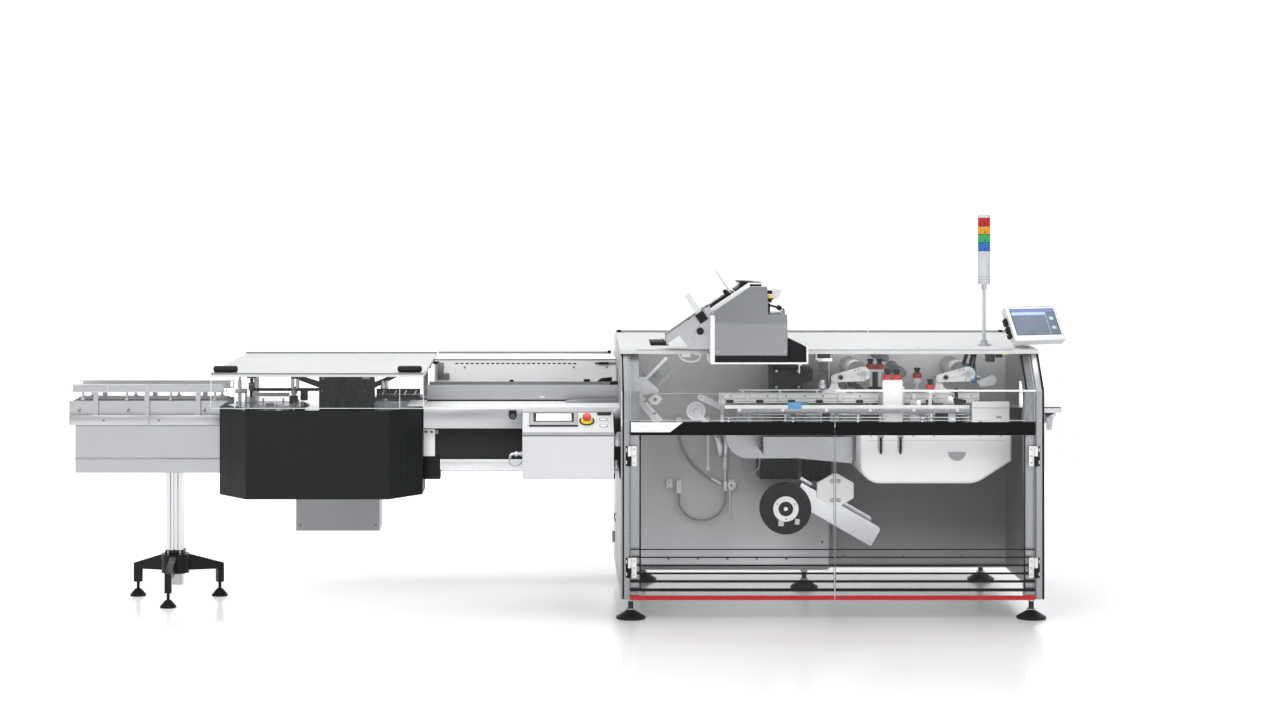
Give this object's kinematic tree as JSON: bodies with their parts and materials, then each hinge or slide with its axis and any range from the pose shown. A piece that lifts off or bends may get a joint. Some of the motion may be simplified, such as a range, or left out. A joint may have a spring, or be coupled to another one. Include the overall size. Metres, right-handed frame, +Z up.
{
  "type": "automatic cartoner",
  "caption": "Horizontal cartoning machine: glazed cabinet with leaflet feeder, bucket channel, hooded infeed station, control box and belt conveyor on a tripod stand.",
  "frame": {"origin": "on the floor under the middle of the machine's box", "axes": "+X along the line towards the outfeed, -Y towards the operator, +Z up"},
  "size_m": [4.9, 1.432, 1.903],
  "materials": {
    "stainless": "brushed stainless sheet",
    "white_paint": "satin white powder coat",
    "black_paint": "satin black powder coat",
    "charcoal_paint": "fine textured charcoal powder coat",
    "dark_beam": "satin dark grey powder coat",
    "aluminium": "clear anodised",
    "machined": "machined steel",
    "clear_sheet": "clear polycarbonate sheet",
    "door_sheet": "slightly smoked clear sheet",
    "white_plastic": "satin",
    "black_plastic": "satin moulded",
    "grey_plastic": "satin moulded",
    "hose": "smooth hose",
    "red_plastic": "gloss moulded",
    "yellow_plastic": "gloss moulded",
    "lens": "translucent ribbed moulding",
    "belt": "smooth dark belting"
  },
  "bodies": {
    "frame": {"adjuster_knobs": "red_plastic", "adjuster_posts": "white_plastic", "air_fittings": "white_plastic", "air_hoses": "hose", "back_walls": "stainless", "bearing_plate": "machined", "bucket_chain": "machined", "bucket_channel": "stainless", "carton_track": "stainless", "closing_cover": "white_paint", "control_box": "white_paint", "conveyor_belt": "belt", "feeder_frame": "white_paint", "feeder_housing": "stainless", "feeder_plinth": "black_paint", "front_posts": "stainless", "hinge_posts": "black_plastic", "hood_posts": "machined", "infeed_conveyor": "stainless", "infeed_skirt": "charcoal_paint", "levelling_feet": "black_plastic", "light_tower_body": "grey_plastic", "light_tower_lenses": "lens", "magazine_arm": "aluminium", "magazine_fittings": "black_plastic", "magazine_guides": "clear_sheet", "operator_panel_post": "machined", "outfeed_conveyor": "stainless", "outfeed_guard": "clear_sheet", "pick_column": "black_plastic", "pusher_linkage": "aluminium", "rear_cover": "white_paint", "rear_housing": "stainless", "reject_chute": "stainless", "rotary_table": "machined", "side_walls": "stainless", "stand_column": "aluminium", "station_frame": "stainless", "steel_sump": "stainless", "steel_trough": "stainless", "stop_collar": "yellow_plastic", "top_cover": "white_paint", "transfer_beam": "dark_beam", "transfer_table": "white_paint", "tripod_base": "black_paint", "upper_guards": "clear_sheet", "wall_drives": "machined"},
    "left_door": {"lower_left_door": "door_sheet", "left_door_fittings": "black_paint"},
    "right_door": {"lower_right_door": "door_sheet", "right_door_fittings": "black_paint"},
    "hood": {"infeed_hood": "white_paint", "hood_panes": "clear_sheet", "hood_handles": "black_plastic"},
    "arm_left": {"lift_arm_left": "white_plastic"},
    "arm_right": {"lift_arm_right": "white_plastic"},
    "bar": {"guide_bar": "white_plastic"},
    "reel": {"reel": "black_plastic"},
    "panel": {"operator_panel": "grey_plastic"},
    "stop": {"stop_button": "red_plastic"}
  },
  "joints": [
    {"name": "left_door_swing", "type": "hinge", "parent": "frame", "child": "left_door", "pos_m": [0.2765, -0.708, 0.5], "axis": [0, 0, -1], "range_deg": [0, 105]},
    {"name": "right_door_swing", "type": "hinge", "parent": "frame", "child": "right_door", "pos_m": [2.1865, -0.708, 0.5], "axis": [0, 0, 1], "range_deg": [0, 105]},
    {"name": "hood_lift", "type": "hinge", "parent": "frame", "child": "hood", "pos_m": [-1.192, 0.7, 1.147], "axis": [-1, 0, 0], "range_deg": [0, 65]},
    {"name": "arm_left_lift", "type": "hinge", "parent": "frame", "child": "arm_left", "pos_m": [1.421, -0.3075, 1.13], "axis": [0, 1, 0], "range_deg": [0, 10]},
    {"name": "arm_right_lift", "type": "hinge", "parent": "frame", "child": "arm_right", "pos_m": [1.931, -0.3075, 1.13], "axis": [0, 1, 0], "range_deg": [0, 10]},
    {"name": "bar_level", "type": "hinge", "parent": "arm_left", "child": "bar", "pos_m": [1.285, -0.3075, 1.109], "axis": [0, 1, 0], "range_deg": [-10, 0]},
    {"name": "reel_spin", "type": "hinge", "parent": "frame", "child": "reel", "pos_m": [1.051, -0.25, 0.469], "axis": [0, 1, 0], "continuous": true},
    {"name": "panel_swivel", "type": "hinge", "parent": "frame", "child": "panel", "pos_m": [2.17, -0.43, 1.3], "axis": [0, 0, 1], "range_deg": [-45, 45]},
    {"name": "stop_press", "type": "slide", "parent": "frame", "child": "stop", "axis": [0, 0.466, -0.8848], "range_m": [0, 0.005], "stiffness_N_per_m": 300, "springref_m": -0.001}
  ],
  "couplings": [
    {"joint": "arm_right_lift", "follows": "arm_left_lift", "ratio": 1},
    {"joint": "bar_level", "follows": "arm_left_lift", "ratio": -1}
  ]
}
